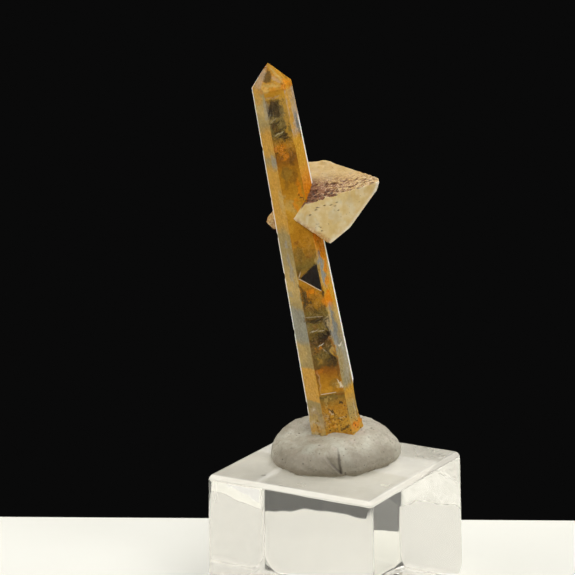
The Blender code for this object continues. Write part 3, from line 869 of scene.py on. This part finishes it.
def quartzFinish():
    p = Paint("stained_quartz")
    spot = p.local(quartzFrame)
    x, y, s = p.split(spot)
    mottle = p.noise(p.stretch(spot, (1, 1, 0.6)), 0.9, 4, 0.6, 0.5)
    fine = p.noise(spot, 2.6, 4, 0.65)
    turn = p.node("ShaderNodeMath", {"operation": "ARCTAN2"}, {0: y, 1: x}) * (180 / math.pi)
    around = (turn + (360 + 90 - quartz["turn"])).math("MODULO", 360.0)  # from the left edge
    u = around / 30 - 3
    up = s + (mottle - 0.5) * 0.8
    # the chart is flat, in mm, and its noise makes the patches ragged
    wide = 1.8  # mm round the prism for one step of u
    chart = p.node("ShaderNodeCombineXYZ", None, {0: u * wide, 1: s})
    drift = p.node("ShaderNodeTexNoise", None,
                   {"Vector": spot, "Scale": 0.8, "Detail": 4.0, "Roughness": 0.62}, out=1)

    def warped(amount):
        inputs = {0: drift, 1: (amount,) * 3, 2: chart}
        moved = p.node("ShaderNodeVectorMath", {"operation": "MULTIPLY_ADD"}, inputs)
        return p.node("ShaderNodeVectorMath", {"operation": "SUBTRACT"},
                      {0: moved, 1: (amount / 2,) * 3})

    ragged, wavy = warped(3.2), warped(1.2)

    charts = {}

    def turned(chart, tilt):
        # the chart turned, made once for each angle
        key = (chart is wavy, tilt)
        if tilt and key not in charts:
            cosine, sine = math.cos(math.radians(tilt)), math.sin(math.radians(tilt))
            across = [p.node("ShaderNodeVectorMath", {"operation": "DOT_PRODUCT"},
                             {0: chart, 1: axis}, out=1)
                      for axis in ((cosine, sine, 0), (-sine, cosine, 0))]
            charts[key] = p.node("ShaderNodeCombineXYZ", None, dict(enumerate(across)))
        return charts.get(key, chart)

    def patch(chart, middle, height, halfWidth, halfHeight, strength, tilt=0.0):
        # an ellipse on the chart, as strong as asked inside and nothing outside
        cosine, sine = math.cos(math.radians(tilt)), math.sin(math.radians(tilt))
        a = middle * wide * cosine + height * sine
        b = height * cosine - middle * wide * sine
        inputs = {0: turned(chart, tilt), 1: (1 / halfWidth, 1 / halfHeight, 0),
                  2: (-a / halfWidth, -b / halfHeight, 0)}
        near = p.node("ShaderNodeVectorMath", {"operation": "MULTIPLY_ADD"}, inputs)
        away = p.node("ShaderNodeVectorMath", {"operation": "LENGTH"}, {0: near}, out=1)
        settings = {"interpolation_type": "SMOOTHSTEP", "clamp": True}
        return p.node("ShaderNodeMapRange", settings,
                      {0: away, 1: 0.65, 2: 1.35, 3: strength, 4: 0.0})

    def line(start, end, strength):
        # a straight thin line on the front face
        (u0, s0), (u1, s1) = start, end
        rise = (s1 - s0) / (u1 - u0)
        off = ((u - u0) * -rise + s - s0).math("ABSOLUTE") / math.hypot(1, rise / wide)
        return p.step(off, 0.09, 0.03) * p.between(u, u0, u1, 0.04) * strength

    # the back isn't in the photograph: broad zones again, each face's a little higher
    stops = [(at / zonesTop, tones[tone]) for at, tone in zones["back"]]
    colour = p.ramp((up + u * 1.7 + (mottle - 0.5) * 9 - 8) / zonesTop, stops)
    colour = p.mix(p.step(fine + mottle, 1.08, 1.25) * 0.5, colour, tones["rust"])
    tipTone = p.ramp(mottle, [(0.35, (0.38, 0.17, 0.015)), (0.5, (0.5, 0.26, 0.03)),
                              (0.65, (0.6, 0.24, 0.02))])
    for name, middle in (("left", -2), ("front", 0), ("right", 2)):
        stops = [(at / zonesTop, tones[tone]) for at, tone in zones[name]]
        side = p.between(u, middle - 1, middle + 1, 0.03)
        colour = p.mix(side, colour, p.ramp(up / zonesTop, stops))
    colour = p.mix(p.step(s, 56.6, 57.2), colour, tipTone)
    for tone, *where in blots:
        colour = p.mix(patch(ragged, *where), colour, tones[tone])
    # curled veins run through the darker parts of the front
    curl = p.noise(p.stretch(spot, (1, 1, 0.8)), 0.8, 3, 0.6, 1.8)
    inFront = p.between(u, -1, 0.9, 0.04)
    veined = p.between(s, 13, 25, 1.0) + p.between(s, 46, 56, 1.0)
    veined = veined + p.between(s, 29, 33, 1.0) * 0.5
    veins = p.step((curl - 0.47).math("ABSOLUTE"), 0.03, 0.005) * inFront * veined
    colour = p.mix(veins * 0.7, colour, tones["smoke"])
    paleVeins = p.step((curl - 0.55).math("ABSOLUTE"), 0.02, 0.004) * inFront * veined
    colour = p.mix(paleVeins * 0.35, colour, tones["rose"])
    shade = p.ramp(fine * 0.6 + mottle * 0.4, [(0.36, (0.5, 0.42, 0.32)), (0.5, (0.9, 0.88, 0.84)),
                                               (0.62, (1, 1, 1))])
    colour = p.mix(0.6, colour, shade, "MULTIPLY")
    for tone, *where in strokes:
        colour = p.mix(patch(wavy, *where), colour, tones[tone])
    etched = p.step(s, 8.0, 3.0)
    crumbs = p.noise(spot, 3.2, 4, 0.7)
    colour = p.mix(p.step(crumbs, 0.43, 0.37) * etched * 0.6, colour, tones["straw"])
    crumbled = p.step(crumbs, 0.55, 0.62) * etched * inFront
    colour = p.mix(crumbled * 0.75, colour, (0.13, 0.05, 0.012))
    grit = p.cells(spot, 1.7)
    colour = p.mix(p.between(grit, 0.3, 0.38, 0.05) * etched * 0.4, colour, tones["straw"])
    gritty = etched * p.step(u, -1.05, -0.8)
    colour = p.mix(p.step(grit, 0.27, 0.15) * gritty, colour, (0.05, 0.022, 0.008))
    cracks = None
    for crack in quartz["cracks"]:
        one = line(*crack)
        cracks = one if cracks is None else cracks.math("MAXIMUM", one)
    colour = p.mix(cracks, colour, (0.62, 0.55, 0.42))
    # painted highlights: pale strips along the two silhouette edges stand in for the rim light that
    # catches them
    rightRimHighlight = p.between(u, 2.82, 3.05, 0.04) * p.step(s, 3.0, 5.5) * p.step(s, 53.0, 51.0)
    rimHighlights = (p.step(u, -2.86, -2.93) * p.step(s, 2.0, 5.0) * 0.85).math("MAXIMUM", rightRimHighlight)
    colour = p.mix(rimHighlights, colour, (0.95, 0.92, 0.84))

    # the dark window under the adularia ends at the long crack
    (u0, s0), (u1, s1), _ = quartz["cracks"][0]
    over = s - s0 - (u - u0) * ((s1 - s0) / (u1 - u0))
    under = u * 1.15 + 27.9 - up
    clear = p.step(over, 0.0, 0.15) * p.step(under, -0.3, 0.3) * p.between(u, -1, 0.86, 0.05)
    for where in windows:
        clear = clear.math("MAXIMUM", patch(ragged, *where) * (1 - veins * 0.6))
    behind = p.step(u, 3.05, 3.15) * p.step(mottle, 0.4, 0.65) * 0.45
    clear = clear.math("MAXIMUM", behind) * (1 - cracks) * (1 - rimHighlights)
    lines = p.noise(p.stretch(spot, (0.25, 0.25, 6.0)), 2.0, 3)
    relief = lines * 0.25 + fine * (0.15 + etched * 1.2)
    normal = p.bump(relief, 0.05 * mm, 0.5)
    roughness = 0.16 + fine * 0.2 + etched * 0.25
    stain = p.principled(Base_Color=colour, Roughness=roughness, IOR=1.544, Normal=normal,
                         Specular_IOR_Level=0.15, Subsurface_Weight=0.2,
                         Subsurface_Radius=(0.8 * mm, 0.45 * mm, 0.15 * mm))
    glass = p.principled(Base_Color=(1.0, 0.97, 0.9), Roughness=roughness * 0.3, IOR=1.544,
                         Transmission_Weight=1.0, Normal=normal)
    haze = p.node("ShaderNodeVolumeAbsorption", None,
                  {"Color": (0.75, 0.6, 0.32), "Density": 60.0})
    return p.surface(p.blend(clear, stain, glass), haze)


def adulariaFinish():
    p = Paint("adularia")
    spot = p.local(specimenFrame)
    x, y, z = p.split(spot)
    cloud = p.noise(spot, 0.5, 4, 0.6)
    grain = p.noise(spot, 3.0, 4, 0.65)
    colour = p.ramp(cloud, [(0.34, (0.65, 0.44, 0.15)), (0.5, (0.71, 0.52, 0.22)),
                            (0.66, (0.77, 0.62, 0.35))])
    colour = p.mix(p.step(x, 1.5, 8.0) * 0.3, colour, (0.56, 0.37, 0.15))
    centre = Vector(adularia["centre"])

    def depth(face):
        # how far below a face's own plane a point lies, in mm
        direction, distance = adularia["faces"][face]
        n = Vector(direction).normalized()
        return (distance + centre.dot(n)) - (x * n.x + y * n.y + z * n.z)

    def off(*faces):
        # 0 on these faces and 1 further in, so that a mark keeps to its own face
        return math.prod(p.step(depth(face), 0.35, 0.6) for face in faces)

    roof, front, low = depth("roof"), depth("front"), depth("lowerLeft")
    onRoof = p.step(roof, 0.7, 0.3) * p.step(front, 0.0, 0.2)
    colour = p.mix(onRoof * 0.35, colour, (0.56, 0.37, 0.16))
    # the etched band lies along the roof's front edge and widens towards the quartz
    byQuartz = p.step(x, 5.5, -3.5)
    band = p.step(front - byQuartz * 1.3, 4.2, 1.4) * onRoof
    scratches = p.noise(p.stretch(spot, (0.7, 1.1, 2.4)), 2.2, 4, 0.7, 0.5)
    blush = p.step(p.noise(spot, 1.1, 3), 0.4, 0.6) * byQuartz * p.step(front, 3.4, 1.2) * onRoof
    colour = p.mix(blush * 0.6, colour, (0.4, 0.2, 0.11))
    stained = p.step(scratches + byQuartz * 0.13, 0.53, 0.59) * band
    colour = p.mix(stained * 0.85, colour, (0.19, 0.065, 0.018))
    # thin curled scratches of the same stain, and pale curls beside them that are painted
    # highlights
    curl = p.noise(p.stretch(spot, (0.8, 1.0, 1.6)), 1.7, 3, 0.6, 1.4)
    curls = p.step((curl - 0.5).math("ABSOLUTE"), 0.05, 0.015) * band
    colour = p.mix(curls * (byQuartz * 0.5 + 0.4), colour, (0.19, 0.05, 0.015))
    paintedCurlHighlights = p.step((curl - 0.58).math("ABSOLUTE"), 0.03, 0.01) * band
    colour = p.mix(paintedCurlHighlights * 0.65, colour, (0.8, 0.6, 0.46))
    rustNear = p.step(x + grain * 2, -0.4, -2.4) * p.step(roof, 0.7, 0.3) * onRoof
    rustNear = rustNear * p.step(front, 5.0, 3.6)
    colour = p.mix(rustNear * 0.75, colour, (0.15, 0.055, 0.016))
    pitted = p.step(roof, 0.04, 0.16) * p.step(roof, 0.7, 0.5) * p.step(front, 0.05, 0.15)
    pitTone = p.mix(p.step(grain, 0.42, 0.58), (0.05, 0.018, 0.005), (0.24, 0.085, 0.03))
    pitted = pitted * p.step(front, 6.4, 5.4) * off("upperRight", "tip", "back", "left")
    colour = p.mix(pitted, colour, pitTone)
    sunken = p.step(front, 0.05, 0.13) * p.step(front, 0.5, 0.3) * p.step(roof, 0.3, 0.5)
    sunken = sunken * off("lowerLeft", "lowerRight", "lowerEnd", "tip", "left")
    colour = p.mix(sunken * 0.7, colour, (0.2, 0.13, 0.06))
    margin = p.step(low, 0.9, 0.1) * p.step(grain, 0.35, 0.55)
    colour = p.mix(margin * 0.8, colour, (0.45, 0.19, 0.035))
    dots = p.step(p.cells(spot, 1.6), 0.2, 0.1) * p.step(p.noise(spot, 1.0), 0.5, 0.6)
    colour = p.mix(dots * 0.5, colour, (0.2, 0.1, 0.04))
    # a cleavage flash shows paler inside the middle of the front face
    inFace = p.step(front, 0.3, 0.1)
    pale = p.step(p.noise(p.stretch(spot, (1, 1, 0.6)), 0.55, 2), 0.48, 0.62) * inFace
    colour = p.mix(pale * 0.5, colour, (0.82, 0.72, 0.48))
    cool = p.step(p.noise(p.stretch(spot, (1, 1, 0.7)), 0.42, 2), 0.5, 0.6) * inFace
    colour = p.mix(cool * 0.2, colour, (0.5, 0.47, 0.38))
    # the front face's far edges are worn, and painted pale there as the highlight they catch
    for face in ("tip", "lowerRight", "lowerEnd"):
        edge = p.step(depth(face), 0.55, 0.2) * p.step(front, 0.35, 0.15)
        colour = p.mix(edge * 0.45, colour, (0.88, 0.8, 0.66))
    normal = p.bump(grain * 0.4 + scratches * band * 1.2 + scratches * 0.2, 0.08 * mm, 0.6)
    shader = p.principled(Base_Color=colour, Roughness=0.3 + grain * 0.25, IOR=1.52,
                          Normal=normal, Subsurface_Weight=0.3,
                          Subsurface_Radius=(1.0 * mm, 0.7 * mm, 0.35 * mm))
    return p.surface(shader)


def puttyFinish():
    p = Paint("grey_putty")
    spot = p.local(specimenFrame)
    x, y, z = p.split(spot)
    cloud = p.noise(spot, 0.35, 4, 0.6)
    grain = p.noise(spot, 3.0, 5, 0.7)
    colour = p.ramp(cloud, [(0.35, (0.34, 0.3, 0.22)), (0.5, (0.415, 0.375, 0.285)),
                            (0.65, (0.48, 0.465, 0.37))])
    colour = p.mix(p.step(x, 0.0, 6.0) * 0.3, colour, (0.6, 0.56, 0.45))
    colour = p.mix(p.step(p.noise(spot, 0.5, 2), 0.5, 0.65) * 0.3, colour, (0.56, 0.46, 0.39))
    colour = p.mix(p.step(grain, 0.45, 0.62) * 0.3, colour, (0.62, 0.6, 0.52))
    # painted shade: the lower front and the foot of the lump are darkened, as for light from above
    under = p.step(z + cloud * 1.6, 5.6, 3.4) * p.step(y, 0.0, -3.0)
    colour = p.mix(under * 0.75, colour, (0.25, 0.215, 0.155))
    colour = p.mix(p.step(z, 1.6, 0.2) * 0.4, colour, (0.26, 0.2, 0.13))
    # painted shade in the crease
    crease = putty["crease"]
    up = z - crease["low"]
    inCrease = p.step(y, -4.0, -5.0) * p.step(up, -0.5, 0.1)
    for slope, top in zip(crease["slopes"], (2.7, 4.0)):
        off = (x - crease["x"] + up * slope - 0.08).math("ABSOLUTE")
        creaseShade = p.step(off, 0.3, 0.04) * inCrease * p.step(up, top, top - 1.8)
        colour = p.mix(creaseShade * 0.8, colour, (0.13, 0.11, 0.085))
    specks = p.step(p.cells(spot, 1.2), 0.22, 0.12) * p.step(p.noise(spot, 0.9), 0.44, 0.54)
    colour = p.mix(specks * 0.85, colour, (0.1, 0.08, 0.05))
    pores = p.step(p.cells(spot, 2.8), 0.24, 0.1) * p.step(p.noise(spot, 1.3), 0.4, 0.5)
    colour = p.mix(pores * 0.35, colour, (0.2, 0.17, 0.12))
    normal = p.bump(grain * 0.9 - pores * 0.9, 0.16 * mm, 0.9)
    shader = p.principled(Base_Color=colour, Roughness=0.32 + grain * 0.3, IOR=1.48, Normal=normal)
    return p.surface(shader)


def acrylicFinish():
    p = Paint("clear_acrylic")
    spot = p.local(Matrix.Identity(4))
    x, y, z = p.split(spot)
    # the polished edges are slightly frosted, from here outwards
    low = place["blockHeight"] - block["edge"]
    side = block["side"] / 2 - block["edge"]
    across = p.step(x.math("ABSOLUTE"), side, side + 0.5)
    along = p.step(y.math("ABSOLUTE"), side, side + 0.5)
    level = p.step(z, low, low + 0.5)
    edges = (across * along).math("MAXIMUM", across * level).math("MAXIMUM", along * level)
    cloud = p.noise(spot, 0.12, 3, 0.5)
    scuffs = p.step(p.noise(p.stretch(spot, (0.4, 3.0, 3.0)), 1.2, 4, 0.7), 0.62, 0.75)
    normal = p.bump(p.noise(spot, 0.1, 2, 0.5) * 3, 0.05 * mm, 0.4)
    clear = p.principled(Base_Color=(1.0, 0.985, 0.93), Roughness=edges * 0.2,
                         IOR=1.49, Transmission_Weight=0.93, Normal=normal)
    # the back is ground below a wavy line; its emission is a painted glow, standing in for light
    # scattered through the ground face
    wave = p.noise(p.node("ShaderNodeCombineXYZ", None, {0: x}), 0.16, 1, 0.5)
    dip = (x + 2.0).math("MINIMUM", 0.0)
    line = (wave - 0.5) * 2.2 - dip * dip * 0.013 + block["groundUpTo"]
    ground = p.step(line - z, -0.1, 0.25) * p.step(y, side + 0.6, side + 0.9)
    # the top is made cloudy, partly by scuffs and partly as painted light for the bright view
    # through it; the top edges are painted pale as a highlight
    scuffsAndPaintedLight = p.step(z, low + 0.6, low + 0.9) * (cloud * 0.35 + scuffs * 0.12 + 0.1)
    scuffsAndPaintedLight = scuffsAndPaintedLight.math("MAXIMUM", (across.math("MAXIMUM", along) * level) * 0.55)
    tone = p.mix(p.step(cloud, 0.4, 0.6), (0.92, 0.88, 0.78), (0.88, 0.83, 0.72))
    tone = p.mix(ground, tone, (0.62, 0.6, 0.54))
    speck = p.node("ShaderNodeVectorMath", {"operation": "DISTANCE"},
                   {0: spot, 1: block["speck"]}, out=1)
    speck = p.step(speck, 0.45, 0.2)
    tone = p.mix(speck, tone, (0.09, 0.07, 0.05))
    paintedGlow = p.mix(ground, (0.0, 0.0, 0.0), (1.0, 0.98, 0.91))
    cloudy = p.principled(Base_Color=tone, Roughness=0.35 + cloud * 0.2, IOR=1.49, Normal=normal,
                          Emission_Color=paintedGlow, Emission_Strength=0.5)
    dull = (ground * 0.96).math("MAXIMUM", scuffsAndPaintedLight).math("MAXIMUM", speck * 0.8)
    return p.surface(p.blend(dull, clear, cloudy))


# camera, lights and floor

shot = {
    "lens": 3400 / 575 * 36,  # mm on a 36 mm sensor
    "azimuth": 31.09,
    "elevation": 14.99,
    "roll": -0.98,
    "distance": 545.34,
    "aside": (7.66, -28.09),
}


def makeCamera():
    a, e, r = (math.radians(shot[k]) for k in ("azimuth", "elevation", "roll"))
    back = Vector((math.sin(a) * math.cos(e), -math.cos(a) * math.cos(e), math.sin(e)))
    level = Vector((math.cos(a), math.sin(a), 0))
    up = back.cross(level)
    right = math.cos(r) * level + math.sin(r) * up
    above = -math.sin(r) * level + math.cos(r) * up
    spot = Vector((0, 0, place["blockHeight"])) + back * shot["distance"]
    spot -= right * shot["aside"][0] + above * shot["aside"][1]
    matrix = Matrix((right, above, back)).transposed().to_4x4()
    matrix.translation = spot * mm
    camera = bpy.data.objects.new("camera", bpy.data.cameras.new("camera"))
    camera.data.lens = shot["lens"]
    camera.data.clip_start = 0.02
    camera.matrix_world = matrix
    bpy.context.scene.collection.objects.link(camera)
    bpy.context.scene.camera = camera


# headings are the specimen's: 0 to the right, 90 away from the camera; sizes in mm, power in W
lights = {
    "above": {"heading": 70, "rise": 62, "away": 800, "size": (420, 420), "power": 2.7},
    "front": {"heading": -55, "rise": 50, "away": 800, "size": (400, 400), "power": 3.3},
    "left": {"heading": -165, "rise": 30, "away": 800, "size": (300, 500), "power": 1.6},
}
# a white tent all round, dimmer in front, and open to a dark room behind the specimen
tent = {"sides": 0.93, "front": 0.24, "room": 0.003, "roomHalfWidth": 62, "roomRise": 55}


def makeLights():
    middle = Vector((0, 0, 45)) * mm
    for name, one in lights.items():
        towards = heading(one["heading"] + place["turn"], one["rise"])
        data = bpy.data.lights.new(name, "AREA")
        data.shape = "RECTANGLE"
        data.size, data.size_y = (side * mm for side in one["size"])
        data.energy = one["power"]
        lamp = bpy.data.objects.new(name, data)
        lamp.location = middle + towards * one["away"] * mm
        lamp.rotation_euler = towards.to_track_quat("Z", "Y").to_euler()
        lamp.visible_camera = False
        bpy.context.scene.collection.objects.link(lamp)
    world = bpy.data.worlds.new("tent")
    p = Paint("tent", world)
    seen = p.node("ShaderNodeTexCoord", out=0)
    turned = p.node("ShaderNodeMapping", {"vector_type": "TEXTURE"},
                    {0: seen, 2: (0, 0, math.radians(place["turn"]))})
    x, y, z = p.split(turned)
    high = math.sin(math.radians(tent["roomRise"]))
    room = p.step(y * math.tan(math.radians(tent["roomHalfWidth"])) - x.math("ABSOLUTE"), 0, 0.08)
    room = room * p.step(z, high + 0.08, high)
    white = (1.0, 0.985, 0.95)
    tone = p.mix(p.step(y, 0.1, -0.6), tuple(c * tent["sides"] for c in white),
                 tuple(c * tent["front"] for c in white))
    tone = p.mix(room, tone, (tent["room"],) * 3)
    p.surface(p.node("ShaderNodeBackground", None, {"Color": tone, "Strength": 1.0}))
    bpy.context.scene.world = world
    bpy.context.scene.view_settings.view_transform = "Standard"


# the floor ends in a straight edge behind the specimen, where the dark room begins
floorPlan = {"behind": 36.6, "front": 120.0, "side": 260.0, "turn": -4.2}


def makeFloor():
    depth = floorPlan["behind"] + floorPlan["front"]
    bpy.ops.object.select_all(action="DESELECT")
    turn = math.radians(place["turn"] + floorPlan["turn"])
    middle = Matrix.Rotation(turn, 4, "Z") @ Vector((0, floorPlan["behind"] - depth / 2, -0.1))
    bpy.ops.mesh.primitive_plane_add(size=mm, location=middle * mm, rotation=(0, 0, turn))
    floor = bpy.context.object
    floor.name = floor.data.name = "floor"
    floor.scale = (2 * floorPlan["side"], depth, 1)
    bpy.ops.object.transform_apply(location=True, rotation=True, scale=True)
    p = Paint("pale_floor")
    cloud = p.noise(p.local(specimenFrame), 0.02, 2)
    tone = p.ramp(cloud, [(0.3, (0.84, 0.83, 0.75)), (0.7, (0.87, 0.86, 0.79))])
    floor.data.materials.append(p.surface(p.principled(Base_Color=tone, Roughness=0.5)))


print("camera, lights and floor")
makeCamera()
makeLights()
makeFloor()

print("quartz")
root = "quartz_with_adularia"
settle(makeQuartz(), quartzFrame, root, quartzFinish())
print("adularia")
feldspar = adulariaFinish()
settle(makeAdularia(), specimenFrame, root, feldspar)
settle(makeBud(), specimenFrame, root, feldspar)
print("putty")
settle(shapePutty(makePutty()), specimenFrame, "putty", puttyFinish(), 40)
print("block")
clearBlock = makeBlock()
settle(clearBlock, Matrix.Identity(4), "acrylic_block", acrylicFinish(), 30)
apply(clearBlock, "WEIGHTED_NORMAL", keep_sharp=True)
